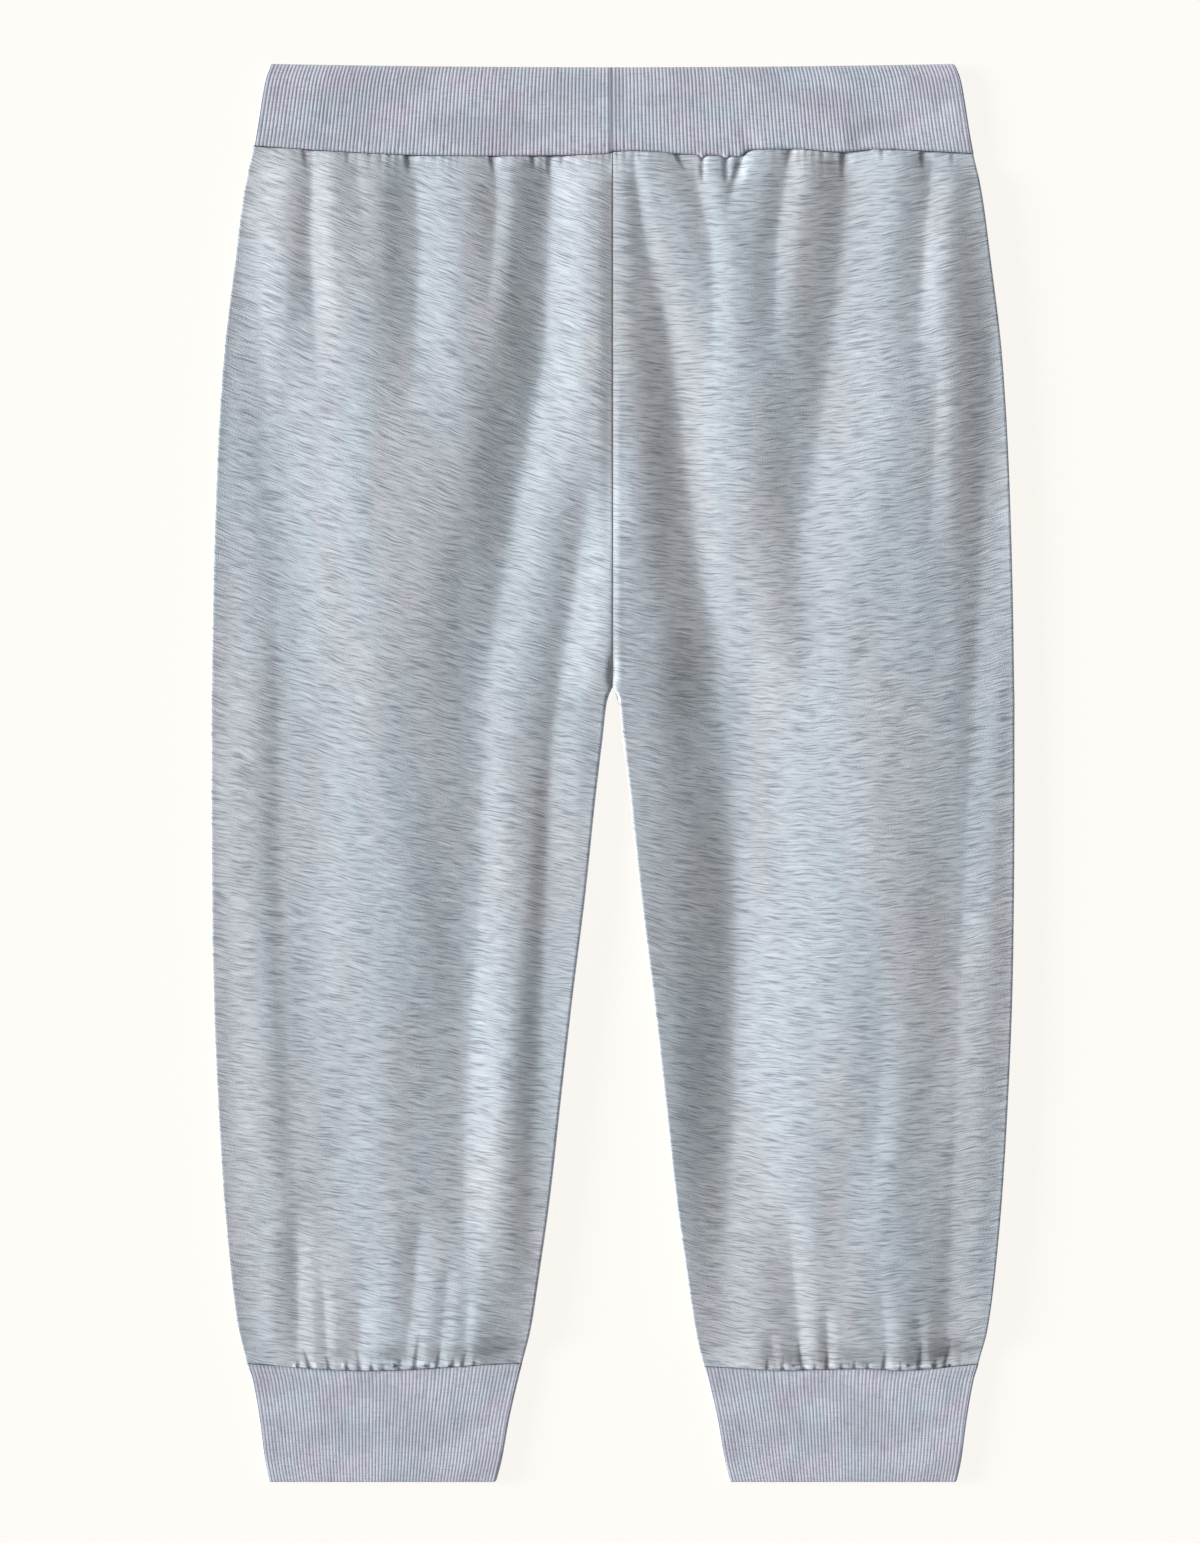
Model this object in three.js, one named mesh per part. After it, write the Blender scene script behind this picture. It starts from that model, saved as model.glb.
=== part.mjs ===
import * as THREE from 'three';

// Jogger sweatpants laid flat on their back panels, in millimetres.
// +X runs across the garment, +Y up to the waist and +Z up from the surface it lies on.
// "down" is the distance below the top edge of the waistband, and the wearer's right is at -X.
const garment = {
  length: 510,
  panelWall: 1.4,
  bandWall: 2.2,
  cuffWall: 2,
  layerGap: 0.5, // air between the front and back walls of the rings and the flat panels
  seamGap: 0.3,
  crotchDown: 224,
  legSplitStart: 216, // the inner edge turns from a flat seam into the leg's rolled edge
  legSplitEnd: 236,
};

// Half widths of the whole outline, from the middle to the outside and to the inside of a leg.
const outline = table(['down', 'outside', 'inside'], [
  [0, 123.1, 0],
  [5, 125.1, 0],
  [12, 126.5, 0],
  [27, 128.9, 0],
  [48, 133.0, 0],
  [70, 135.9, 0],
  [99, 139.5, 0],
  [127, 141.6, 0],
  [156, 142.9, 0],
  [192, 143.9, 0],
  [224, 144.4, 0],
  [228, 144.5, 1.8],
  [243, 144.5, 3.6],
  [264, 144.5, 6.1],
  [300, 144.3, 9.9],
  [336, 143.7, 14.4],
  [372, 142.2, 18.5],
  [408, 140.0, 22.5],
  [437, 137.3, 26.6],
  [455, 134.8, 29.4],
  [467, 131.9, 32.4],
  [473, 130.0, 33.9],
  [487, 127.5, 37.1],
  [502, 125.5, 39.8],
  [510, 123.8, 41.9],
]);

// The line where the waistband is sewn to the front panels.
const waistSeam = table(['x', 'down'], [
  [-130, 29.4],
  [-100, 31.5],
  [-70, 32.9],
  [-40, 33.2],
  [0, 31.8],
  [12, 31.6],
  [34, 33.3],
  [52, 31.3],
  [68, 30.8],
  [82, 31.7],
  [96, 30.8],
  [130, 32.2],
]);

// The lines where the cuffs are sewn to the legs, in front.
const cuffSeam = table(['x', 'down'], [
  [-132, 467.4],
  [-88, 469.9],
  [-33, 467.4],
  [33, 468.5],
  [61, 469.7],
  [90, 469.1],
  [106, 469.7],
  [132, 467.6],
]);
const hiddenWaistSeam = table(['x', 'down'], [[-130, 29.4], [0, 31], [130, 32.2]]);
const hiddenCuffSeam = table(['x', 'down'], [[-132, 467.4], [-33, 467.4], [33, 468.5], [132, 467.6]]);

// Folds and gathers of the front, each a valley: where it starts and ends and how long it takes
// to deepen and to fade, its x at four stations, the widths of the slopes down to it and up from it,
// its depth, and how much wider it is at its end than at its start.
const folds = table(
  ['from', 'to', 'deepen', 'fade', 'x0', 'x1', 'x2', 'x3', 'fall', 'rise', 'depth', 'spread'],
  [
    [34, 468, 94, 0, -128.3, -121.1, -116.5, -111.1, 10.8, 27.4, 4, 2.1],
    [408, 468, 22, 0, -113.2, -113.2, -113.2, -113.2, 8.6, 5.8, 1, 1],
    [31, 131, 0, 54, -107.8, -108.5, -106.7, -105.3, 8.6, 7.2, 2.2, 1.3],
    [31, 81, 0, 40, -93.1, -90.5, -88.7, -87.3, 7.9, 4.3, 0.5, 1.4],
    [31, 145, 0, 65, -71.1, -69.3, -71.1, -74.7, 10.8, 10.8, 2.2, 1.6],
    [31, 106, 0, 50, -41.6, -41.9, -44.1, -47, 8.6, 5, 1.4, 1.3],
    [31, 250, 0, 43, -21.4, -24.7, -38.3, -51.3, 13.7, 11.5, 4, 1.9],
    [207, 468, 43, 72, -45.2, -48.4, -53.8, -53.5, 36, 20.9, 4, 0.7],
    [131, 468, 43, 216, -4.9, -22.5, -26.8, -32.9, 15.8, 12.2, 3.2, 0.8],
    [405, 468, 22, 0, -67.9, -70, -71.8, -74.7, 8.6, 8.6, 1.5, 0.9],
    [426, 468, 14, 0, -57.8, -59.6, -61, -62.8, 5, 4.3, 0.8, 1],
    [437, 468, 14, 0, -51.3, -52, -52.7, -53.8, 4.3, 3.2, 0.7, 1],
    [430, 468, 22, 0, -90.5, -90.5, -90.9, -91.6, 9.4, 5.8, 0.7, 1],
    [430, 468, 18, 0, -104.9, -103.9, -102.8, -102.4, 4.3, 3.2, 0.8, 1],
    [31, 199, 0, 43, -0.9, -0.9, -1.3, -1.6, 3.6, 1.8, 0.6, 1],
    [31, 95, 0, 43, 7, 9.9, 13.5, 17.1, 4.3, 3.6, 0.7, 1.6],
    [31, 250, 94, 43, 7.7, 21.8, 31.1, 44.5, 10.1, 12.2, 3.8, 2.2],
    [196, 468, 40, 108, 40.9, 44.8, 44.1, 39.4, 30.2, 43.2, 6.2, 0.5],
    [31, 135, 0, 58, 27.2, 35.5, 35.8, 35.8, 8.6, 6.5, 1.5, 1.2],
    [31, 63, 0, 22, 45.9, 44.1, 41.6, 39.4, 4.3, 3.6, 1, 1],
    [31, 120, 0, 54, 64.3, 58.9, 58.1, 58.9, 7.9, 6.5, 1.3, 1.3],
    [31, 250, 0, 108, 86.2, 78.7, 66.8, 75.4, 15.1, 18, 3.3, 1.6],
    [31, 131, 0, 65, 114.7, 111.8, 110, 110.3, 12.2, 7.9, 2.1, 1.2],
    [95, 192, 22, 43, 116.8, 115.7, 114.3, 110, 8.6, 5, 0.6, 1.2],
    [34, 468, 180, 0, 140.9, 131.2, 124, 119.3, 21.6, 12.2, 2.2, 0.9],
    [405, 468, 22, 0, 63.2, 63.9, 66.1, 67.5, 12.2, 8.6, 1.5, 0.7],
    [444, 468, 11, 0, 76.5, 76.9, 77.2, 77.6, 4.3, 3.2, 1, 1],
    [322, 430, 32, 32, 97.7, 97, 93.4, 87.3, 14.4, 7.2, 0.4, 1],
    [430, 468, 22, 0, 95.6, 96.3, 97.7, 98.5, 9.4, 4.3, 0.9, 1],
    [441, 468, 14, 0, 108.5, 109.6, 110.3, 110.7, 5, 3.2, 0.8, 1],
    [451, 468, 11, 0, 56.7, 57.1, 57.4, 57.8, 4.3, 3.2, 0.7, 1],
  ],
);

// How the front panels stand off the back ones.
const loft = {
  under: 2 * garment.panelWall + 0.7, // the lowest level of the front's outer face
  height: 6.2, // the unfolded cloth above that level
  edgeReach: 22, // distance over which the cloth rises or falls from a rolled edge to that height
  seamRise: 10, // distance from a seam to the full height
  seamShare: 0.3, // share of the height left at a seam
  pinchRise: 4, // the same for the folds, which stay deep up to the gathers
  pinchShare: 0.6,
  restRound: 0.6, // rounding where a deep valley meets the lowest level
  valleyRound: 0.12, // rounding at the bottom of a valley, in widths of its slope
  shoulderRound: 0.3,
};

// The rolled edges of both legs, each half an upright ellipse: their heights where no fold
// reaches them and where they meet a ring.
const edges = {
  right: { inside: 7.2, outside: 6.6 },
  left: { inside: 9.5, outside: 7.2 },
  halfWidth: 1.7,
  seamHeight: 4,
  seamReach: 12,
};

const mesh = {
  frontColumns: 42,
  backColumns: 4,
  rows: 19, // the same down front and back panels, so that their edges follow each other
  shareAboveCrotch: 0.45, // of a panel's rows
  turnSteps: 3, // steps round each rolled edge
  flatEdge: 1.5, // width of those steps where the edge isn't rolled
  waistBend: 6, // how fast rows straighten away from the bent seam lines
  cuffBend: 12,
};

const rib = {
  height: 0.3, // from valley to crest
  foldDepth: 0.8, // how far down a folded edge is rounded
  joinX: -0.4, // the waistband's joining seam
  joinWidth: 1,
  joinDepth: 0.45,
};

function table(names, rows) {
  return rows.map((row) => Object.fromEntries(row.map((value, i) => [names[i], value])));
}

function smooth(t) {
  const s = THREE.MathUtils.clamp(t, 0, 1);
  return s * s * (3 - 2 * s);
}

// A smooth curve through a table's rows: a cubic in each step, level with its neighbours' slopes.
function along(rows, from, to, at) {
  const last = rows.length - 1;
  const t = THREE.MathUtils.clamp(at, rows[0][from], rows[last][from]);
  let k = rows.findIndex((row) => row[from] > t) - 1;
  if (k < 0) k = last - 1;
  const slope = (i) => {
    const before = rows[Math.max(i - 1, 0)];
    const after = rows[Math.min(i + 1, last)];
    return (after[to] - before[to]) / (after[from] - before[from]);
  };
  const step = rows[k + 1][from] - rows[k][from];
  const s = (t - rows[k][from]) / step;
  const startPull = step * slope(k) * s * (1 - s) ** 2;
  const endPull = step * slope(k + 1) * s * s * (s - 1);
  return THREE.MathUtils.lerp(rows[k][to], rows[k + 1][to], smooth(s)) + startPull + endPull;
}

const outsideAt = (down) => along(outline, 'down', 'outside', down);
const insideAt = (down) => Math.max(along(outline, 'down', 'inside', down), garment.seamGap / 2);
const yAt = (down) => garment.length / 2 - down;
const endDown = (seam, side) => seam.at(side < 0 ? 0 : -1).down;
const legSplit = (down) => {
  return smooth((down - garment.legSplitStart) / (garment.legSplitEnd - garment.legSplitStart));
};

// How deep one fold is at a point: a straight slope each side, rounded at valley and shoulders.
function foldDepth(fold, x, down) {
  const share = (down - fold.from) / (fold.to - fold.from);
  if (share < 0 || share > 1) return 0;
  const leg = Math.min(Math.floor(share * 3), 2);
  const valleyX = THREE.MathUtils.lerp(fold[`x${leg}`], fold[`x${leg + 1}`], share * 3 - leg);
  const width = (x < valleyX ? fold.fall : fold.rise) * (1 + (fold.spread - 1) * share);
  const aside = Math.hypot((x - valleyX) / width, loft.valleyRound);
  const slope = (1 - aside + Math.hypot(1 - aside, loft.shoulderRound)) / 2;
  const deepen = fold.deepen ? smooth((down - fold.from) / fold.deepen) : 1;
  const fade = fold.fade ? smooth((fold.to - down) / fold.fade) : 1;
  return fold.depth * slope * deepen * fade;
}

// Heights of a leg's edges at a row, before any fold.
function plainEdges(side, down) {
  const { inside, outside } = side < 0 ? edges.right : edges.left;
  const fromWaist = smooth((down - waistSeam[0].down) / edges.seamReach);
  const fromCuff = smooth((cuffSeam[0].down - down) / edges.seamReach);
  const height = (most) => THREE.MathUtils.lerp(edges.seamHeight, most, fromWaist * fromCuff);
  return { inside: height(inside), outside: height(outside) };
}

// How far inside a leg's rolled edges a point is: 0 on a roll and 1 from the reach on. Above the
// crotch the two panels are one sheet, with no edge between them.
function fromEdges(x, down) {
  const across = Math.abs(x);
  const fromOutside = smooth((outsideAt(down) - edges.halfWidth - across) / loft.edgeReach);
  const fromInside = smooth((across - edges.halfWidth - insideAt(down)) / loft.edgeReach);
  return fromOutside * (1 - legSplit(down) * (1 - fromInside));
}

// A share that is the least at both seams and grows to 1 over a distance from them.
function fromSeams(waistAway, cuffAway, rise, least) {
  return THREE.MathUtils.lerp(least, 1, smooth(waistAway / rise) * smooth(cuffAway / rise));
}

// The level of the front's cloth: the sheet rises from its plain edges to the loft, every fold is
// taken off, and the valleys rest on the back.
function levelAt(x, down, plainLevel) {
  const waistAway = down - along(waistSeam, 'x', 'down', x);
  const cuffAway = along(cuffSeam, 'x', 'down', x) - down;
  const seam = fromSeams(waistAway, cuffAway, loft.seamRise, loft.seamShare);
  const pinch = fromSeams(waistAway, cuffAway, loft.pinchRise, loft.pinchShare);
  const sheet = THREE.MathUtils.lerp(plainLevel - loft.under, loft.height, fromEdges(x, down));
  const left = seam * sheet - pinch * folds.reduce((sum, fold) => sum + foldDepth(fold, x, down), 0);
  return loft.under + (left + Math.hypot(left, loft.restRound)) / 2;
}

// A closed body between an outer and an inner set of rows, all with the same number of points.
// A closed ring joins each row's last point to its first, and any other wall gets side edges.
function clothSolid(outerRows, innerRows, isRing) {
  const count = outerRows[0].length;
  const positions = [...outerRows, ...innerRows].flat().flatMap((point) => point.toArray());
  const outer = (row, i) => row * count + (i % count);
  const inner = (row, i) => (outerRows.length + row) * count + (i % count);
  const faces = [];
  const quad = (a, b, c, d) => faces.push(a, b, c, a, c, d);
  const outerLast = outerRows.length - 1;
  const innerLast = innerRows.length - 1;
  const steps = isRing ? count : count - 1;
  for (let i = 0; i < steps; i += 1) {
    for (let row = 0; row < outerLast; row += 1) {
      quad(outer(row, i), outer(row + 1, i), outer(row + 1, i + 1), outer(row, i + 1));
    }
    for (let row = 0; row < innerLast; row += 1) {
      quad(inner(row, i), inner(row, i + 1), inner(row + 1, i + 1), inner(row + 1, i));
    }
    quad(outer(0, i), outer(0, i + 1), inner(0, i + 1), inner(0, i));
    quad(outer(outerLast, i + 1), outer(outerLast, i), inner(innerLast, i), inner(innerLast, i + 1));
  }
  for (let row = 0; row < outerLast && !isRing; row += 1) {
    const end = count - 1;
    quad(outer(row + 1, 0), outer(row, 0), inner(row, 0), inner(row + 1, 0));
    quad(outer(row, end), outer(row + 1, end), inner(row + 1, end), inner(row, end));
  }
  const geometry = new THREE.BufferGeometry();
  geometry.setAttribute('position', new THREE.Float32BufferAttribute(positions, 3));
  geometry.setIndex(faces);
  return facingOut(geometry);
}

// Turns every face over when the body's signed volume is negative.
function facingOut(geometry) {
  const position = geometry.attributes.position;
  const index = geometry.index;
  const corner = (i) => new THREE.Vector3().fromBufferAttribute(position, index.getX(i));
  let volume = 0;
  for (let i = 0; i < index.count; i += 3) {
    volume += corner(i).dot(corner(i + 1).cross(corner(i + 2)));
  }
  if (volume < 0) index.array.reverse();
  geometry.computeVertexNormals();
  return geometry;
}

// The stops of a panel's section: turned edges at its ends and level cloth between them.
function panelStops(columns) {
  const turn = [...Array(mesh.turnSteps).keys()].map((k) => 1 - k / mesh.turnSteps);
  const level = [...Array(columns + 1).keys()].map((k) => k / columns);
  return [
    ...turn.map((share) => ({ insideTurn: share, outsideTurn: 0, across: 0 })),
    ...level.map((share) => ({ insideTurn: 0, outsideTurn: 0, across: share })),
    ...turn.reverse().map((share) => ({ insideTurn: 0, outsideTurn: share, across: 1 })),
  ];
}

// One point of a panel's section at a distance inside its outer face. The back's face is the
// underside and the front's is on top, at z above the cloth's level. Both turn round the same edges,
// as high as the front's cloth beside them, and stop at their seam.
function panelPoint(stop, side, isFront, down, inset) {
  const split = legSplit(down);
  const start = insideAt(down) + edges.halfWidth * Math.sin(split * Math.PI / 2);
  const end = outsideAt(down) - edges.halfWidth;
  const plain = plainEdges(side, down);
  const insideHeight = levelAt(side * start, down, plain.inside);
  const outsideHeight = levelAt(side * end, down, plain.outside);
  const height = THREE.MathUtils.lerp(insideHeight, outsideHeight, stop.across);
  const radius = height / 2;
  const fullTurn = Math.acos(garment.seamGap / 2 / radius);
  const turnIn = fullTurn * split * stop.insideTurn;
  const turnOut = fullTurn * stop.outsideTurn;
  const flatEdge = mesh.flatEdge * (1 - split);
  const across = THREE.MathUtils.lerp(start + flatEdge, end, stop.across) - flatEdge * stop.insideTurn
    + (edges.halfWidth - inset) * (Math.sin(turnOut) - Math.sin(turnIn));
  const lowered = radius - (radius - inset) * Math.cos(turnIn + turnOut);
  return {
    x: side * across,
    z: isFront ? -lowered : lowered,
    levelX: side * THREE.MathUtils.clamp(across, start, end),
    plainLevel: THREE.MathUtils.lerp(plain.inside, plain.outside, stop.across),
  };
}

// A panel: rows from the waist to the cuff, bent to meet the seam lines at both ends.
function panel(side, isFront) {
  const top = isFront ? waistSeam : hiddenWaistSeam;
  const bottom = isFront ? cuffSeam : hiddenCuffSeam;
  const topLevel = endDown(top, side);
  const bottomLevel = endDown(bottom, side);
  const stops = panelStops(isFront ? mesh.frontColumns : mesh.backColumns);
  const rowAt = (rowDown, share, inset) => stops.map((stop) => {
    const { x, z, levelX, plainLevel } = panelPoint(stop, side, isFront, rowDown, inset);
    const topShift = along(top, 'x', 'down', x) - topLevel + garment.seamGap / 2;
    const bottomShift = along(bottom, 'x', 'down', x) - bottomLevel - garment.seamGap / 2;
    const topBend = topShift * (1 - share) ** mesh.waistBend;
    const down = rowDown + topBend + bottomShift * share ** mesh.cuffBend;
    const level = isFront ? levelAt(levelX, down, plainLevel) : 0;
    return new THREE.Vector3(x, yAt(down), z + level);
  });
  const rowDowns = panelRows(topLevel, bottomLevel, mesh.rows);
  const shareOf = (down) => (down - topLevel) / (bottomLevel - topLevel);
  const outer = rowDowns.map((down) => rowAt(down, shareOf(down), 0));
  const inner = rowDowns.map((down) => rowAt(down, shareOf(down), garment.panelWall));
  return clothSolid(outer, inner, false);
}

// Row places, closer together near both seams, with one row at the crotch.
function panelRows(top, bottom, count) {
  const crotchRow = Math.round(count * mesh.shareAboveCrotch);
  const upper = [...Array(crotchRow).keys()].map((k) => {
    return THREE.MathUtils.lerp(garment.crotchDown, top, Math.cos((k / crotchRow) * Math.PI / 2));
  });
  const lowerCount = count - crotchRow;
  const lower = [...Array(lowerCount + 1).keys()].map((k) => {
    return THREE.MathUtils.lerp(garment.crotchDown, bottom, Math.sin((k / lowerCount) * Math.PI / 2));
  });
  return [...upper, ...lower];
}

// One point of a flattened ring's front half: half a turn up, along the top and half a turn down,
// as a length from its left end. The offset goes out along the face.
function ringPoint(length, left, right, radius, offset) {
  const turn = radius * Math.PI / 2;
  const flat = right - left - 2 * radius;
  const reach = radius + offset;
  if (length < turn) {
    const angle = length / radius;
    return { x: left + radius - reach * Math.cos(angle), z: radius + reach * Math.sin(angle) };
  }
  if (length < turn + flat) return { x: left + radius + length - turn, z: radius + reach };
  const angle = (length - turn - flat) / radius;
  return { x: right - radius + reach * Math.sin(angle), z: radius + reach * Math.cos(angle) };
}

// A ribbed ring laid flat. Its front half has ribs in the outer face only, and its underside is plain.
// Each row says where it lies down the garment, how far inside the face and how high its ribs are.
function ribbedRing({ edges, wall, ribs, rows, underSteps, hasJoin }) {
  const radius = wall + garment.layerGap / 2;
  const ribStops = [...Array(2 * ribs + 1).keys()].map((k) => k / (2 * ribs));
  const underTurn = [...Array(mesh.turnSteps).keys()].map((k) => (k + 1) / mesh.turnSteps);
  const ringRow = (row) => {
    const { left, right } = edges(row);
    const turn = radius * Math.PI / 2;
    const flat = right - left - 2 * radius;
    const whole = 2 * turn + flat;
    const front = ribStops.map((share, k) => {
      const fromJoin = Math.abs(THREE.MathUtils.lerp(left, right, share) - rib.joinX);
      const isJoin = hasJoin && fromJoin < rib.joinWidth / 2;
      const height = isJoin ? -rib.joinDepth : (k % 2 - 0.5) * rib.height;
      const { x, z } = ringPoint(share * whole, left, right, radius, row.ribShare * height - row.inset);
      return new THREE.Vector3(x, yAt(row.frontDown(x)), z);
    });
    const underLevel = [...Array(underSteps - 1).keys()].map((k) => turn + flat * (k + 1) / underSteps);
    const underStops = [
      ...underTurn.map((share) => share * turn),
      ...underLevel,
      ...underTurn.map((share) => turn + flat + (share - 1 / mesh.turnSteps) * turn),
    ];
    const back = underStops.reverse().map((length) => {
      const { x, z } = ringPoint(length, left, right, radius, -row.inset);
      return new THREE.Vector3(x, yAt(row.backDown(x)), 2 * radius - z);
    });
    return [...front, ...back];
  };
  return clothSolid(rows.outer.map(ringRow), rows.inner.map(ringRow), true);
}

// Rows of a ring with one folded edge and one sewn edge: the outer face, then the inner one.
// The folded edge is at the ring's free end, and towardsSeam says which way down the seam lies.
function ringRows(wall, foldDown, seam, hiddenSeam, towardsSeam) {
  const level = (down, inset, ribShare) => ({
    frontDown: () => down,
    backDown: () => down,
    inset,
    ribShare,
  });
  const gap = towardsSeam * garment.seamGap / 2;
  const sewn = (inset, ribShare) => ({
    frontDown: (x) => along(seam, 'x', 'down', x) - gap,
    backDown: (x) => along(hiddenSeam, 'x', 'down', x) - gap,
    inset,
    ribShare,
  });
  const pastFold = foldDown + towardsSeam * rib.foldDepth;
  return {
    outer: [level(foldDown, wall / 2, 0.5), level(pastFold, 0, 1), sewn(0, 1)],
    inner: [level(pastFold, wall, 0), sewn(wall, 0)],
  };
}

function waistband() {
  return ribbedRing({
    edges: ({ frontDown }) => ({
      left: -outsideAt(frontDown(-Infinity)),
      right: outsideAt(frontDown(Infinity)),
    }),
    wall: garment.bandWall,
    ribs: 196,
    rows: ringRows(garment.bandWall, 0, waistSeam, hiddenWaistSeam, 1),
    underSteps: 8,
    hasJoin: true,
  });
}

function cuff(side) {
  const edges = ({ frontDown }) => {
    const outside = side * outsideAt(frontDown(side * Infinity));
    const inside = side * insideAt(frontDown(side * insideAt(cuffSeam[0].down)));
    return { left: Math.min(outside, inside), right: Math.max(outside, inside) };
  };
  return ribbedRing({
    edges,
    wall: garment.cuffWall,
    ribs: 78,
    rows: ringRows(garment.cuffWall, garment.length, cuffSeam, hiddenCuffSeam, -1),
    underSteps: 4,
    hasJoin: false,
  });
}

function knit(color) {
  return new THREE.MeshStandardMaterial({ color, roughness: 0.95, metalness: 0 });
}

const bodyGrey = '#b0b6be';
const ribGrey = '#afb2bf';

function piece(name, geometry, color) {
  const made = new THREE.Mesh(geometry, knit(color));
  made.name = name;
  return made;
}

const sweatpants = new THREE.Group();
sweatpants.add(piece('waistband', waistband(), ribGrey));
for (const [side, hand] of [[-1, 'right'], [1, 'left']]) {
  sweatpants.add(piece(`front_${hand}`, panel(side, true), bodyGrey));
  sweatpants.add(piece(`back_${hand}`, panel(side, false), bodyGrey));
  sweatpants.add(piece(`cuff_${hand}`, cuff(side), ribGrey));
}

export default sweatpants;
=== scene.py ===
import math

import bpy
import numpy as np
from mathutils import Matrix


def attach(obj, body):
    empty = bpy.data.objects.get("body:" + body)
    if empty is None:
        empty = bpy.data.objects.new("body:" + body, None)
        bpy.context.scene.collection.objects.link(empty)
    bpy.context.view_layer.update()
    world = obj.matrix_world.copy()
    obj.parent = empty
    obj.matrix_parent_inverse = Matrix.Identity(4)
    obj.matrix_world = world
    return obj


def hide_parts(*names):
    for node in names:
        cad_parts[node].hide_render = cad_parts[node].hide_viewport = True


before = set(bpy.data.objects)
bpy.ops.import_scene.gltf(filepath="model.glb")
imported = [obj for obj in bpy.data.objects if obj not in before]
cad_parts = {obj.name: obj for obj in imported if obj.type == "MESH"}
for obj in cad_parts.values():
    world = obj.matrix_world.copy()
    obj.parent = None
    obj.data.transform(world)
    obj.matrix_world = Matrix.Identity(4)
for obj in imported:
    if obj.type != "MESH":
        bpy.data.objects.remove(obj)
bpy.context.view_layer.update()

# Jogger sweatpants laid flat, worked out in millimetres: x across, "down" from the waistband's top
# edge towards the cuffs, z up from the floor. The wearer's right is at -x.
mm = 0.001


# Camera

cameraSettings = {
    "photoWidth": 1200,
    "photoHeight": 1543,
    "millimetresPerPixel": 0.36,
    "garmentCentre": (612.5, 773.0),  # pixel over the frame's origin
    "outlineHeight": 2.0,  # the outline's height above the floor, where the scale holds
    "lens": 100.0,
    "sensor": 36.0,
}


def makeCamera(settings):
    scale = settings["millimetresPerPixel"]
    data = bpy.data.cameras.new("camera")
    data.sensor_fit = "AUTO"
    data.sensor_width = settings["sensor"]
    data.lens = settings["lens"]
    data.dof.use_dof = False
    data.clip_end = 10
    camera = bpy.data.objects.new("camera", data)
    away = settings["lens"] / settings["sensor"] * settings["photoHeight"] * scale
    across = (settings["photoWidth"] / 2 - settings["garmentCentre"][0]) * scale
    up = (settings["garmentCentre"][1] - settings["photoHeight"] / 2) * scale
    camera.location = (across * mm, up * mm, (away + settings["outlineHeight"]) * mm)
    bpy.context.collection.objects.link(camera)
    bpy.context.scene.camera = camera


makeCamera(cameraSettings)
bpy.context.scene.view_settings.view_transform = "Standard"
print("camera ready")


# Sizes and lines that every piece shares

garment = {
    "length": 510.0,
    "panelWall": 1.4,  # the solids' walls
    "bandWall": 2.2,
    "cuffWall": 2.0,
    "layerGap": 0.5,  # air between the front and back walls of the rings
    "seamGap": 0.04,  # sewn edges touch here, where the solids keep 0.3 apart
    "shownGap": 0.24,  # the dark line of the shown waist and cuff seams
    "crotchDown": 224.0,
    "legSplitStart": 216.0,
    "legSplitEnd": 236.0,
    "mapOrigin": (200.0, 100.0),  # what the UV maps add to x and to down, so that none is below 0
}

# down, half width to the outside, half width to the inside of the leg
outline = np.array([
    (0, 123.1, 0), (5, 125.1, 0), (12, 126.5, 0), (27, 128.9, 0), (48, 133.0, 0), (70, 135.9, 0),
    (99, 139.5, 0), (127, 141.6, 0), (156, 142.9, 0), (192, 143.9, 0), (224, 144.4, 0),
    (228, 144.5, 1.8), (243, 144.5, 3.6), (264, 144.5, 6.1), (300, 144.3, 9.9), (336, 143.7, 14.4),
    (372, 142.2, 18.5), (408, 140.0, 22.5), (437, 137.3, 26.6), (455, 134.8, 29.4),
    (467, 131.9, 32.4), (473, 130.0, 33.9), (487, 127.5, 37.1), (502, 125.5, 39.8), (510, 123.8, 41.9),
])

# x, down
waistSeam = np.array([
    (-130, 29.4), (-100, 31.5), (-70, 32.9), (-40, 33.2), (-2, 32.4), (1, 31.6), (12, 31.4),
    (26, 32.6), (31, 33), (32.4, 34), (34, 33.1), (39, 33.2), (41, 34.2), (42.6, 33.3), (46, 33.3),
    (48.6, 31.5), (52, 30.9), (68, 30.8), (82, 31.7), (96, 30.8), (130, 32.2),
])
cuffSeam = np.array([
    (-132, 467.4), (-88, 469.9), (-33, 467.4), (33, 468.5), (61, 469.7), (90, 469.1), (106, 469.7),
    (132, 467.6),
])
hiddenWaistSeam = np.array([(-130, 29.4), (0, 31), (130, 32.2)])
hiddenCuffSeam = np.array([(-132, 467.4), (-33, 467.4), (33, 468.5), (132, 467.6)])


def smooth(t):
    s = np.clip(t, 0, 1)
    return s * s * (3 - 2 * s)


# A smooth curve through the rows: a cubic in each step, with its slope at each row taken from the
# rows on both sides of it.
def along(rows, at, column=1):
    x = rows[:, 0]
    y = rows[:, column]
    slope = np.empty_like(y, dtype=float)
    slope[1:-1] = (y[2:] - y[:-2]) / (x[2:] - x[:-2])
    slope[0] = (y[1] - y[0]) / (x[1] - x[0])
    slope[-1] = (y[-1] - y[-2]) / (x[-1] - x[-2])
    t = np.clip(at, x[0], x[-1])
    k = np.clip(np.searchsorted(x, t, side="right") - 1, 0, len(x) - 2)
    step = x[k + 1] - x[k]
    s = (t - x[k]) / step
    pull = step * (slope[k] * s * (1 - s) ** 2 + slope[k + 1] * s * s * (s - 1))
    return y[k] + (y[k + 1] - y[k]) * smooth(s) + pull


def outsideAt(down):
    return along(outline, down, 1)


def insideAt(down):
    return np.maximum(along(outline, down, 2), garment["seamGap"] / 2)


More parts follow.
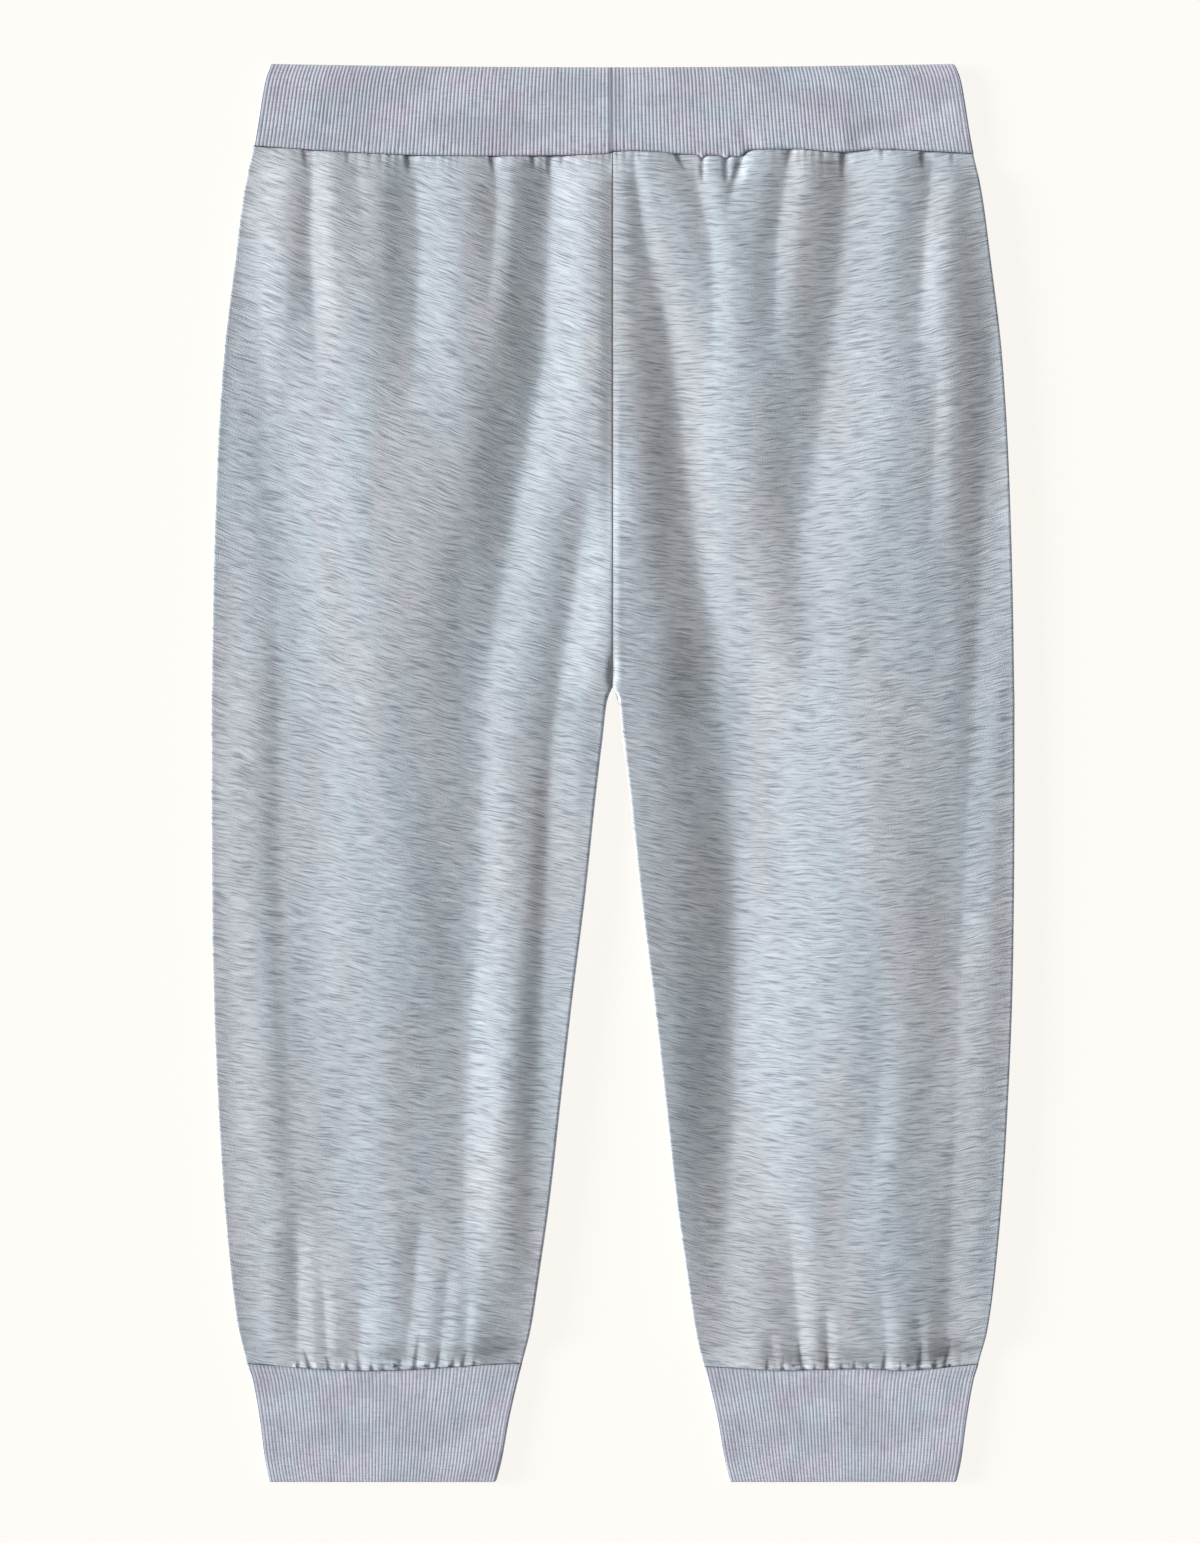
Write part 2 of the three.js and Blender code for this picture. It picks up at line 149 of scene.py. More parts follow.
def legSplit(down):
    start = garment["legSplitStart"]
    return smooth((down - start) / (garment["legSplitEnd"] - start))


# Folds of the front panels

# from, to, deepen, fade, x at four stations, fall, rise, depth, spread
folds = np.array([
    (34, 468, 94, 0, -128.3, -121.1, -116.5, -111.1, 14, 27.4, 4.5, 2.1),
    (408, 468, 22, 0, -113.2, -113.2, -113.2, -113.2, 8.6, 5.8, 1, 1),
    (31, 131, 0, 54, -107.8, -108.5, -106.7, -105.3, 8.6, 7.2, 1.9, 1.3),
    (31, 81, 0, 40, -93.1, -90.5, -88.7, -87.3, 7.9, 4.3, 0.5, 1.4),
    (31, 145, 0, 65, -71.1, -69.3, -71.1, -74.7, 10.8, 10.8, 1.9, 1.6),
    (31, 106, 0, 50, -41.6, -41.9, -44.1, -47, 8.6, 5, 1.1, 1.3),
    (31, 250, 0, 43, -21.4, -24.7, -38.3, -51.3, 13.7, 11.5, 4, 1.9),
    (207, 468, 43, 72, -45.2, -48.4, -53.8, -53.5, 36, 20.9, 4, 0.7),
    (131, 468, 43, 216, -4.9, -22.5, -26.8, -32.9, 15.8, 12.2, 3.2, 0.8),
    (405, 468, 22, 0, -67.9, -70, -71.8, -74.7, 8.6, 8.6, 1.1, 0.9),
    (426, 468, 14, 0, -57.8, -59.6, -61, -62.8, 5, 4.3, 0.5, 1),
    (437, 468, 14, 0, -51.3, -52, -52.7, -53.8, 4.3, 3.2, 0.4, 1),
    (430, 468, 22, 0, -90.5, -90.5, -90.9, -91.6, 9.4, 5.8, 0.7, 1),
    (430, 468, 18, 0, -104.9, -103.9, -102.8, -102.4, 4.3, 3.2, 0.5, 1),
    (31, 199, 0, 43, -0.9, -0.9, -1.3, -1.6, 3.6, 6, 0.5, 1),
    (31, 95, 0, 43, 7, 9.9, 13.5, 17.1, 4.3, 3.6, 0.7, 1.6),
    (31, 250, 94, 43, 7.7, 21.8, 31.1, 44.5, 10.1, 12.2, 3.8, 2.2),
    (196, 468, 40, 108, 40.9, 44.8, 44.1, 39.4, 30.2, 43.2, 6.2, 0.5),
    (31, 135, 0, 58, 27.2, 35.5, 35.8, 35.8, 8.6, 6.5, 1.2, 1.2),
    (31, 63, 0, 22, 45.9, 44.1, 41.6, 39.4, 4.3, 3.6, 0.6, 1),
    (31, 120, 0, 54, 64.3, 58.9, 58.1, 58.9, 7.9, 6.5, 1.3, 1.3),
    (31, 250, 0, 108, 86.2, 78.7, 66.8, 75.4, 15.1, 18, 3.3, 1.6),
    (31, 131, 0, 65, 114.7, 111.8, 110, 110.3, 12.2, 7.9, 2.1, 1.2),
    (95, 192, 22, 43, 116.8, 115.7, 114.3, 110, 8.6, 5, 0.6, 1.2),
    (34, 468, 180, 0, 140.9, 131.2, 124, 119.3, 21.6, 12.2, 2.2, 0.9),
    (405, 468, 22, 0, 63.2, 63.9, 66.1, 67.5, 12.2, 8.6, 1.2, 0.7),
    (444, 468, 11, 0, 76.5, 76.9, 77.2, 77.6, 4.3, 3.2, 0.7, 1),
    (322, 430, 32, 32, 97.7, 97, 93.4, 87.3, 14.4, 7.2, 0.4, 1),
    (430, 468, 22, 0, 95.6, 96.3, 97.7, 98.5, 9.4, 4.3, 0.5, 1),
    (441, 468, 14, 0, 108.5, 109.6, 110.3, 110.7, 5, 3.2, 0.4, 1),
    (451, 468, 11, 0, 56.7, 57.1, 57.4, 57.8, 4.3, 3.2, 0.5, 1),
])

# The front's lowest level, the height of its unfolded cloth above that, and how it gets there.
loft = {
    "under": 2 * garment["panelWall"] + 0.7,
    "height": 6.2,
    "edgeReach": 22.0,
    "seamRise": 10.0,
    "seamShare": 0.3,
    "pinchRise": 4.0,
    "pinchShare": 0.6,
    "restRound": 0.6,
    "valleyRound": 0.12,
    "longFold": 1.6,  # how much rounder the valleys of the longest folds are
    "lengths": (100, 430),  # of the folds with plain and with the roundest valleys
    "shoulderRound": 0.3,
}

# Rolled edges, each half an upright ellipse: heights at the inside and outside of either leg,
# where no fold reaches them and where they meet a ring.
edges = {
    "right": (7.2, 6.6),
    "left": (9.5, 7.2),
    "halfWidth": 0.6,
    "seamHeight": 4.0,
    "seamReach": 12.0,
}


# One fold's depth: a straight slope down to the valley and one up from it, both fading out
# along the fold, with rounded valley and shoulders.
def foldDepth(fold, x, down):
    start, end, deepen, fade, x0, x1, x2, x3, fall, rise, depth, spread = fold
    share = np.clip((down - start) / (end - start), 0, 1)
    valleyX = np.interp(share * 3, [0, 1, 2, 3], [x0, x1, x2, x3])
    width = np.where(x < valleyX, fall, rise) * (1 + (spread - 1) * share)
    rounded = loft["valleyRound"] * np.interp(end - start, loft["lengths"], [1, loft["longFold"]])
    aside = np.hypot((x - valleyX) / width, rounded)
    slope = (1 - aside + np.hypot(1 - aside, loft["shoulderRound"])) / 2
    grow = smooth((down - start) / deepen) if deepen else (down >= start)
    shrink = smooth((end - down) / fade) if fade else (down <= end)
    return depth * slope * grow * shrink


# Heights of a leg's edges at a row, inside and outside, before any fold.
def plainEdges(side, down):
    fromWaist = smooth((down - waistSeam[0, 1]) / edges["seamReach"])
    fromCuff = smooth((cuffSeam[0, 1] - down) / edges["seamReach"])
    low = edges["seamHeight"]
    most = edges["right" if side < 0 else "left"]
    return tuple(low + (height - low) * fromWaist * fromCuff for height in most)


# How far inside a leg's rolled edges a point is: 0 on a roll and 1 from the reach on. Above the
# crotch the two panels are one sheet, with no edge between them.
def fromEdges(x, down):
    across = np.abs(x)
    fromOutside = smooth((outsideAt(down) - edges["halfWidth"] - across) / loft["edgeReach"])
    fromInside = smooth((across - edges["halfWidth"] - insideAt(down)) / loft["edgeReach"])
    return fromOutside * (1 - legSplit(down) * (1 - fromInside))


# A share that is the least at both seams and grows to 1 over a distance from them.
def fromSeams(waistAway, cuffAway, rise, least):
    return least + (1 - least) * smooth(waistAway / rise) * smooth(cuffAway / rise)


# The level of the front's cloth: the sheet rises from its plain edges to the loft, every fold is
# taken off, and the valleys rest on the back.
def levelAt(x, down, plainLevel):
    waistAway = down - along(waistSeam, x)
    cuffAway = along(cuffSeam, x) - down
    seam = fromSeams(waistAway, cuffAway, loft["seamRise"], loft["seamShare"])
    pinch = fromSeams(waistAway, cuffAway, loft["pinchRise"], loft["pinchShare"])
    low = plainLevel - loft["under"]
    sheet = low + (loft["height"] - low) * fromEdges(x, down)
    left = seam * sheet - pinch * sum(foldDepth(fold, x, down) for fold in folds)
    return loft["under"] + (left + np.hypot(left, loft["restRound"])) / 2


# Fine relief of the front panels that only shows close by

sewing = {
    "waistDip": 0.8,  # how deep the waist seam draws the panel's edge down
    "cuffDip": 0.48,
    "dipReach": 0.8,
    "puckerPitch": 3.1,
    "puckerDepth": 0.34,
    "puckerReach": 3.2,
    "puckerLeast": 0.25,  # share of their depth where they are weakest
    "cuffPuckers": 0.5,  # share of the waist's
    "cuffShift": 3.0,  # moves the cuffs' puckers across, so that they differ from the waist's
    "pinchEnd": 0.35,  # share of its width that a pinch keeps at its end
    "pinchRise": 2.8,  # how much longer its right slope is than its left one
    "edgeCalm": 8.0,  # the outer edges are free of relief, which grows over this distance
    "seamCalm": 10.0,
    "waveHeight": 0.1,
    "slowHeight": 0.22,
    "centreDip": 0.3,
    "centreReach": (0.5, 3.0),  # on the wearer's right of the centre seam and on its left
    "ridgeHeight": 0.16,  # the seam allowances under the cloth beside the centre seam
    "ridgeX": 2.2,
    "ridgeWidth": 1.3,
    "ridgeStart": 90.0,
    "ridgeGrow": 50.0,
    "crotchDip": 1.0,
    "crotchRise": 5.0,  # how far above the crotch the dip is deepest
    "crotchReach": (1.6, 6.0),  # across and down
}

# Waves that move the puckers and that set their depth: size, length of one radian, start.
puckerShifts = [(0.45, 8.7, 0), (0.3, 3.9, 1)]
puckerDepths = [(1, 11.3, 2), (0.6, 5.1, 0)]

# Pinches of the waist seam: x, lean, length down from the seam, half width, depth.
waistPinches = np.array([
    (-110.5, 0.1, 9, 1.6, 0.5), (-95, 0, 6, 1.3, 0.4), (-73.6, 0.1, 8, 1.5, 0.9),
    (-43.6, 0.15, 8, 1.3, 0.9), (-28.8, 0.1, 5, 1.1, 0.7), (-22.7, 0, 9, 1.6, 0.8),
    (-18.2, -0.1, 4, 1.0, 0.5), (9.7, 0.1, 5, 1.0, 0.5), (23.2, 0.45, 7, 1.6, 0.8),
    (32.4, 0.1, 3.5, 1.1, 0.5), (41, -0.2, 4, 1.0, 0.5), (47.3, -0.42, 14, 2.4, 1.0),
    (63.6, -0.15, 8, 1.4, 0.8), (83.4, -0.1, 11, 1.8, 1.0), (97, 0, 5, 1.1, 0.4),
    (111.6, -0.05, 8, 1.5, 0.7), (122.5, -0.1, 6, 1.2, 0.4),
])

# Pinches of the cuff seams, up from them.
cuffPinches = np.array([
    (-112.8, 0, 3, 0.9, 0.7), (-108.6, -0.35, 8, 1.1, 0.6), (-101.5, -0.3, 6, 1.0, 0.5),
    (-95, -0.2, 4, 0.9, 0.6), (-90.6, -0.15, 8, 1.3, 0.5), (-86.5, 0, 3, 0.9, 0.6),
    (-82, 0, 3, 0.8, 0.5), (-76.4, 0.05, 5, 0.9, 0.5), (-70.8, 0.12, 15, 1.6, 0.7),
    (-66, 0.1, 3, 0.9, 0.6), (-62.6, 0.1, 9, 1.3, 0.6), (-57.4, 0.1, 4, 0.9, 0.7),
    (-53.6, 0.2, 8, 1.3, 0.5), (-49.6, 0, 3, 0.8, 0.5),
    (55.8, 0, 5, 1.0, 0.5), (61.4, -0.1, 4, 0.9, 0.5), (68.8, -0.2, 12, 1.5, 0.7),
    (73, 0, 3, 0.9, 0.5), (77.4, -0.05, 8, 1.1, 0.7), (82.4, 0, 3, 0.9, 0.6),
    (87, 0, 4, 0.9, 0.5), (92, 0, 3, 0.8, 0.5), (97.6, 0.05, 8, 1.2, 0.7),
    (103.6, 0, 4, 0.9, 0.5), (110.4, 0.05, 11, 1.4, 0.7), (116, 0.1, 4, 0.9, 0.4),
    (119.8, 0.15, 10, 1.3, 0.6),
])


def sumOfWaves(waves, x):
    return sum(size * np.sin(x / length + start) for size, length, start in waves)


# Gathers along a seam: waves whose pitch and depth wander, fading away from the seam.
def puckers(x, away):
    phase = 2 * math.pi * (x / sewing["puckerPitch"] + sumOfWaves(puckerShifts, x))
    least = sewing["puckerLeast"]
    strength = least + (1 - least) * np.clip(sumOfWaves(puckerDepths, x), 0, 1)
    fade = np.exp(-np.maximum(away, 0) / sewing["puckerReach"])
    return -sewing["puckerDepth"] * strength * (0.5 + 0.5 * np.cos(phase)) ** 3 * fade


# Short creases from a seam: each a valley with straight slopes, the left one steeper, narrowing to
# nothing at its end.
def pinchRelief(pinches, x, away):
    relief = 0
    end = sewing["pinchEnd"]
    for place, lean, length, halfWidth, depth in pinches:
        left = np.clip(1 - away / length, 0, 1)
        aside = (x - place - lean * away) / (halfWidth * (end + (1 - end) * left))
        slopes = np.maximum(-aside, aside / sewing["pinchRise"])
        relief = relief - depth * np.clip(1 - slopes, 0, 1) * left
    return relief


def seamDip(away, depth, reach):
    return -depth * np.exp(-np.maximum(away, 0) / reach)


# Slow unevenness: a few waves of unlike lengths, longer down the leg than across it.
def unevenness(x, down):
    waves = np.sin(x / 4.1 + 0.9 * np.sin(down / 31)) * np.sin(down / 23 + 1.3 * np.sin(x / 17))
    slow = np.sin(x / 9.3 + down / 61 + 2) * np.sin(down / 37 - x / 29)
    return sewing["waveHeight"] * waves + sewing["slowHeight"] * slow


def frontRelief(x, down):
    fromWaist = down - along(waistSeam, x)
    fromCuff = along(cuffSeam, x) - down
    fromEdge = smooth((outsideAt(down) - np.abs(x)) / sewing["edgeCalm"])
    fromSeam = fromSeams(fromWaist, fromCuff, sewing["seamCalm"], 0)
    relief = unevenness(x, down) * fromEdge * fromSeam
    relief += puckers(x, fromWaist) * fromEdge
    relief += sewing["cuffPuckers"] * puckers(x + sewing["cuffShift"], fromCuff) * fromEdge
    relief += pinchRelief(waistPinches, x, fromWaist) + pinchRelief(cuffPinches, x, fromCuff)
    relief += seamDip(fromWaist, sewing["waistDip"], sewing["dipReach"])
    relief += seamDip(fromCuff, sewing["cuffDip"], sewing["dipReach"])
    joined = 1 - legSplit(down)
    centreReach = np.where(x < 0, *sewing["centreReach"])
    relief += seamDip(np.abs(x), sewing["centreDip"], centreReach) * joined
    ridge = np.exp(-(((x - sewing["ridgeX"]) / sewing["ridgeWidth"]) ** 2))
    ridge = ridge * smooth((down - sewing["ridgeStart"]) / sewing["ridgeGrow"])
    relief += sewing["ridgeHeight"] * ridge * joined
    across, high = sewing["crotchReach"]
    fromCrotch = np.hypot(x / across, (down - garment["crotchDown"] + sewing["crotchRise"]) / high)
    return relief - sewing["crotchDip"] * np.exp(-(fromCrotch ** 2))


# Meshes

# A closed cloth wall between outer and inner rows of points, (rows, points, xyz) arrays. A ring
# joins each row's end to its start. The UV map holds where each point lies on the flat cloth.
def clothMesh(name, outer, inner, outerCloth, innerCloth, isRing):
    count = outer.shape[1]
    outerIds = np.arange(outer.shape[0] * count).reshape(-1, count)
    innerIds = outerIds.size + np.arange(inner.shape[0] * count).reshape(-1, count)

    def quads(ids, closed=isRing):
        if closed:
            ids = np.hstack([ids, ids[:, :1]])
        return np.stack([ids[:-1, :-1], ids[1:, :-1], ids[1:, 1:], ids[:-1, 1:]], -1).reshape(-1, 4)

    parts = [quads(outerIds), quads(innerIds)[:, ::-1]]
    parts.append(quads(np.vstack([innerIds[0], outerIds[0]])))
    parts.append(quads(np.vstack([outerIds[-1], innerIds[-1]])))
    if not isRing:
        parts.append(quads(np.stack([innerIds[:, 0], outerIds[:, 0]], 1)))
        parts.append(quads(np.stack([outerIds[:, -1], innerIds[:, -1]], 1)))
    faces = np.vstack(parts)
    points = np.vstack([outer.reshape(-1, 3), inner.reshape(-1, 3)]) * mm
    cloth = np.vstack([outerCloth.reshape(-1, 2), innerCloth.reshape(-1, 2)])
    a, b, c, d = (points[faces[:, i]] for i in range(4))
    volume = np.einsum("ij,ij->", a, np.cross(b, c)) + np.einsum("ij,ij->", a, np.cross(c, d))
    if volume < 0:
        faces = faces[:, ::-1]
    mesh = bpy.data.meshes.new(name)
    mesh.vertices.add(len(points))
    mesh.vertices.foreach_set("co", points.astype(np.float32).ravel())
    mesh.loops.add(faces.size)
    mesh.loops.foreach_set("vertex_index", faces.astype(np.int32).ravel())
    mesh.polygons.add(len(faces))
    mesh.polygons.foreach_set("loop_start", np.arange(0, faces.size, 4, dtype=np.int32))
    mesh.update(calc_edges=True)
    # The side edges of an open wall are creased; a column's number says which side it is on.
    if not isRing:
        column = np.zeros(len(points), dtype=int)
        column[outerIds[:, 0]] = 1
        column[outerIds[:, -1]] = 2
        ends = np.empty(2 * len(mesh.edges), dtype=np.int32)
        mesh.edges.foreach_get("vertices", ends)
        atEnd = column[ends.reshape(-1, 2)]
        cut = (atEnd[:, 0] > 0) & (atEnd[:, 0] == atEnd[:, 1])
        mesh.attributes.new("sharp_edge", "BOOLEAN", "EDGE").data.foreach_set("value", cut)
    layer = mesh.uv_layers.new(name="cloth")
    layer.uv.foreach_set("vector", cloth[faces.ravel()].astype(np.float32).ravel())
    mesh.shade_smooth()
    mesh.validate()
    piece = bpy.data.objects.new(name, mesh)
    bpy.context.collection.objects.link(piece)
    return piece


def toFrame(x, down, z):
    return np.stack(np.broadcast_arrays(x, garment["length"] / 2 - down, z), -1).astype(float)


# Panels

panelMesh = {
    "wall": 0.5,  # thinner than the solid's, so the rolled edges look as crisp as pressed cloth
    "front": (196, 1),  # columns, and the share of the row steps that is used
    "back": (60, 0.5),
    "turnSteps": 7,
    "flatEdge": 1.5,  # width of the narrow strip beside the centre seam
    "waistBend": 6,  # powers: how fast the rows stop following the bends of the seam
    "cuffBend": 12,
    "centreGap": 0.36,  # the dark line of the front's centre seam
}

# Slopes of the knit's rows, growing as they run to +x: at the waist, their change down the leg,
# and how they bend across the leg.
courses = {
    "right": (-0.36, 0.2, 0.0, 0.0),
    "left": (-0.09, -0.22, 0.0012, 0.0005),
    "start": 60.0,
    "reach": 300.0,
}


def panelStops(columns):
    turn = 1 - np.arange(panelMesh["turnSteps"]) / panelMesh["turnSteps"]
    level = np.linspace(0, 1, columns + 1)
    zero = np.zeros_like(turn)
    insideShare = np.concatenate([turn, 0 * level, zero])
    across = np.concatenate([zero, level, zero + 1])
    outsideShare = np.concatenate([zero, 0 * level, turn[::-1]])
    return insideShare, across, outsideShare


# Row places down a panel, closer where the seams, the gathers and the crotch need it. Each stretch
# says from, to and how many steps; fine is the share of these steps that is used.
def panelRows(top, bottom, fine):
    crotch = garment["crotchDown"]
    stretches = [
        (top, top + 8, 16), (top + 8, top + 40, 22), (top + 40, crotch - 16, 50),
        (crotch - 16, crotch, 12), (crotch, crotch + 16, 12), (crotch + 16, bottom - 40, 68),
        (bottom - 40, bottom - 8, 22), (bottom - 8, bottom, 16),
    ]
    rows = [np.linspace(a, b, round(n * fine) + 1)[:-1] for a, b, n in stretches]
    return np.concatenate(rows + [[bottom]])


# Where a point lies on the flat cloth, in metres: the knit's rows slope across each leg.
def clothPlace(side, x, down):
    slope, change, bend, bendChange = courses["right" if side < 0 else "left"]
    lower = smooth((down - courses["start"]) / courses["reach"])
    climb = (slope + change * lower) * x + (bend + bendChange * lower) * x ** 2
    originX, originDown = garment["mapOrigin"]
    return np.stack(np.broadcast_arrays(x + originX, down + climb + originDown), -1) * mm


# The panel as a function of its stop across and its row down: level cloth between two edges that
# turn round half an ellipse, as high as the front's cloth beside them, with the fine relief on it.
def panel(name, side, isFront):
    topLine, bottomLine = (waistSeam, cuffSeam) if isFront else (hiddenWaistSeam, hiddenCuffSeam)
    last = 0 if side < 0 else -1
    topLevel = topLine[last, 1]
    bottomLevel = bottomLine[last, 1]
    columns, fine = panelMesh["front" if isFront else "back"]
    insideShare, across, outsideShare = panelStops(columns)
    rowDown = panelRows(topLevel, bottomLevel, fine)[:, None]
    split = legSplit(rowDown)
    start = insideAt(rowDown) + edges["halfWidth"] * np.sin(split * math.pi / 2)
    end = outsideAt(rowDown) - edges["halfWidth"]
    plainInside, plainOutside = plainEdges(side, rowDown)
    insideHeight = levelAt(side * start, rowDown, plainInside)
    outsideHeight = levelAt(side * end, rowDown, plainOutside)
    radius = (insideHeight + (outsideHeight - insideHeight) * across) / 2
    plainLevel = plainInside + (plainOutside - plainInside) * across
    halfGap = garment["seamGap"] / 2
    sewnGap = garment["shownGap"] / 2 if isFront else halfGap
    turnIn = np.arccos(halfGap / radius) * split * insideShare
    turnOut = np.arccos(halfGap / radius) * outsideShare
    flatEdge = panelMesh["flatEdge"] * (1 - split)
    opened = (panelMesh["centreGap"] / 2 if isFront else 0) * (1 - split) * (1 - across)
    level = start + opened + flatEdge + (end - start - flatEdge) * across - flatEdge * insideShare
    share = (rowDown - topLevel) / (bottomLevel - topLevel)

    def wall(inset):
        aside = level + (edges["halfWidth"] - inset) * (np.sin(turnOut) - np.sin(turnIn))
        x = side * aside
        lowered = radius - (radius - inset) * np.cos(turnIn + turnOut)
        flatX = x + side * radius * (np.cos(turnIn) - np.cos(turnOut))  # the knit runs on down the rolls
        topBend = (along(topLine, x) - topLevel + sewnGap) * (1 - share) ** panelMesh["waistBend"]
        bottomBend = (along(bottomLine, x) - bottomLevel - sewnGap) * share ** panelMesh["cuffBend"]
        down = rowDown + topBend + bottomBend
        if not isFront:
            return toFrame(x, down, lowered), clothPlace(side, flatX, down)
        top = levelAt(side * np.clip(aside, start, end), down, plainLevel) - lowered
        relief = frontRelief(x, down) * np.cos(turnIn + turnOut)
        return toFrame(x, down, top + relief), clothPlace(side, flatX, down)

    outer, outerCloth = wall(0)
    inner, innerCloth = wall(panelMesh["wall"])
    return clothMesh(name, outer, inner, outerCloth, innerCloth, False)


# Ribbed rings

ribbing = {
    "endHalfWidth": 0.9,  # of the turned ends, which are upright half ellipses
    "columns": 6,  # points round each rib
    "underSteps": 40,
    "turnSteps": 8,
    "rows": 26,
    "foldRows": 4,
    "innerRows": 4,
    "sunk": 0.7,  # share of a rib's height that lies below the face
    "foldShare": 0.4,  # share of the ribs' height that is left on the folded edge
    "mapRibs": 256.0,  # ribs across a unit of the rings' UV maps
    "mapPitch": 1.28,
    "joinX": -0.4,
    "joinWidth": 0.6,
    "joinDepth": 0.12,
    "edgeDip": 0.5,
    "edgeReach": 0.9,
    "puckerCalm": 2.0,  # the puckers start to show this far from the sewn edge
    "creaseEnd": 6.0,
}

# What differs between the rings.
bandRing = {
    "ribs": 196,
    "ribHeight": 0.15,
    "bow": 1.2,  # how far the folded edge's middle lies below the top
    "bowReach": 124.0,
    "halfWidth": 130.0,
    "waves": 0.18,
    "puckers": 0.5,
    "shift": 0.0,  # of the puckers, as on the panels beside it
}
cuffRing = {
    "ribs": 78,
    "ribHeight": 0.11,
    "inside": 33.0,
    "outside": 132.0,
    "waves": 0.14,
    "puckers": 0.4,
    "shift": sewing["cuffShift"],
}


# A point of a flattened ring's shown half, from its left end: a turn up, level, a turn down. The
# offset goes straight out from the face, and less far at the ends where it goes inwards.
def ringPoint(length, left, right, radius, offset):
    turn = radius * math.pi / 2
    flat = right - left - 2 * radius
    upright = radius + offset
    halfWidth = ribbing["endHalfWidth"]
    level = halfWidth + offset * np.where(np.asarray(offset) > 0, 1, halfWidth / radius)
    rising = np.clip(length / radius, 0, math.pi / 2)
    falling = np.clip((length - turn - flat) / radius, 0, math.pi / 2)
    share = np.clip((length - turn) / flat, 0, 1)
    x = left + halfWidth + (right - left - 2 * halfWidth) * share
    x = x - level * np.cos(rising) * (length < turn)
    x = np.where(length > turn + flat, x + level * np.sin(falling), x)
    z = radius + upright * np.where(length < turn, np.sin(rising), np.cos(falling))
    return x, z


# A ribbed ring: each row goes once round the flattened tube, ribbed on the shown half and plain
# on the half that it lies on, from the folded edge to the sewn edge.
def ribbedRing(name, ring):
    wall = ring["wall"]
    radius = wall + garment["layerGap"] / 2
    towards = ring["towardsSeam"]
    ribs = ring["ribs"]
    halfGap = towards * garment["seamGap"] / 2
    sewnGap = towards * garment["shownGap"] / 2
    shownShare = np.linspace(0, 1, ribs * ribbing["columns"] + 1)
    foldAngle = np.linspace(math.pi / 2, 0, ribbing["foldRows"] + 1)[:-1]

    def clothRow(share, down):
        place = share * ribs / ribbing["mapRibs"]
        return np.stack(np.broadcast_arrays(place, (down + garment["mapOrigin"][1]) * mm), -1)

    # A row at a share of the way from the folded edge to the sewn one, inset from the face.
    def row(fromFold, inset, ribShare):
        def edgesAt(end):
            seam = along(ring["seam"], end) - halfGap
            return ring["edges"](ring["fold"] + (seam - ring["fold"]) * fromFold)

        def downAt(x, seamLine, gap):
            fold = ring["fold"] + ring["foldShift"](x)
            return fold + (along(seamLine, x) - gap - fold) * fromFold

        left = edgesAt(ring["leftEnd"])[0]
        right = edgesAt(ring["rightEnd"])[1]
        turn = radius * math.pi / 2
        flat = right - left - 2 * radius
        whole = 2 * turn + flat
        wave = np.sqrt(np.abs(np.sin(math.pi * ribs * shownShare)))
        height = ring["ribHeight"] * (wave - ribbing["sunk"])
        if ring["hasJoin"]:
            fromJoin = left + (right - left) * shownShare - ribbing["joinX"]
            height = height - ribbing["joinDepth"] * np.exp(-((fromJoin / ribbing["joinWidth"]) ** 2))
        x, z = ringPoint(shownShare * whole, left, right, radius, ribShare * height - inset)
        down = downAt(x, ring["seam"], sewnGap)
        if inset < wall / 2:
            z = z + ring["relief"](x, down) * smooth((z - radius) / radius)
        shown = toFrame(x, down, z)
        stops = np.concatenate([
            np.linspace(0, turn, ribbing["turnSteps"] + 1)[1:],
            np.linspace(turn, turn + flat, ribbing["underSteps"] + 1)[1:-1],
            np.linspace(turn + flat, whole, ribbing["turnSteps"] + 1)[:-1],
        ])[::-1]
        x, z = ringPoint(stops, left, right, radius, -inset)
        underDown = downAt(x, ring["hiddenSeam"], halfGap)
        under = toFrame(x, underDown, 2 * radius - z)
        cloth = [clothRow(shownShare, down), clothRow(stops / whole, underDown)]
        return np.vstack([shown, under]), np.vstack(cloth)

    def foldRow(angle, face):
        ribShare = ribbing["foldShare"] + (1 - ribbing["foldShare"]) * math.cos(angle)
        inset = wall / 2 * (1 - face * math.cos(angle))
        return row(roundShare * (1 - math.sin(angle)), inset, ribShare if face > 0 else 0)

    middle = along(ring["seam"], (ring["leftEnd"] + ring["rightEnd"]) / 2)
    roundShare = wall / 2 / abs(middle - ring["fold"])
    outer = [foldRow(angle, 1) for angle in foldAngle]
    outer += [row(share, 0, 1) for share in np.linspace(roundShare, 1, ribbing["rows"])]
    inner = [foldRow(angle, -1) for angle in foldAngle[1:]]
    inner += [row(share, wall, 0) for share in np.linspace(roundShare, 1, ribbing["innerRows"])]
    outerPoints, outerCloth = (np.stack(part) for part in zip(*outer))
    innerPoints, innerCloth = (np.stack(part) for part in zip(*inner))
    return clothMesh(name, outerPoints, innerPoints, outerCloth, innerCloth, True)


# Soft creases of the waistband: x and down at both ends, width, depth.
bandCreases = np.array([
    (121, 16, 86, 27, 3.6, 0.45),
    (-104, 18, -80, 27, 4.0, 0.25),
    (46, 24, 52, 31, 3.0, 0.3),
    (-60, 29, -30, 30, 3.0, 0.2),
])


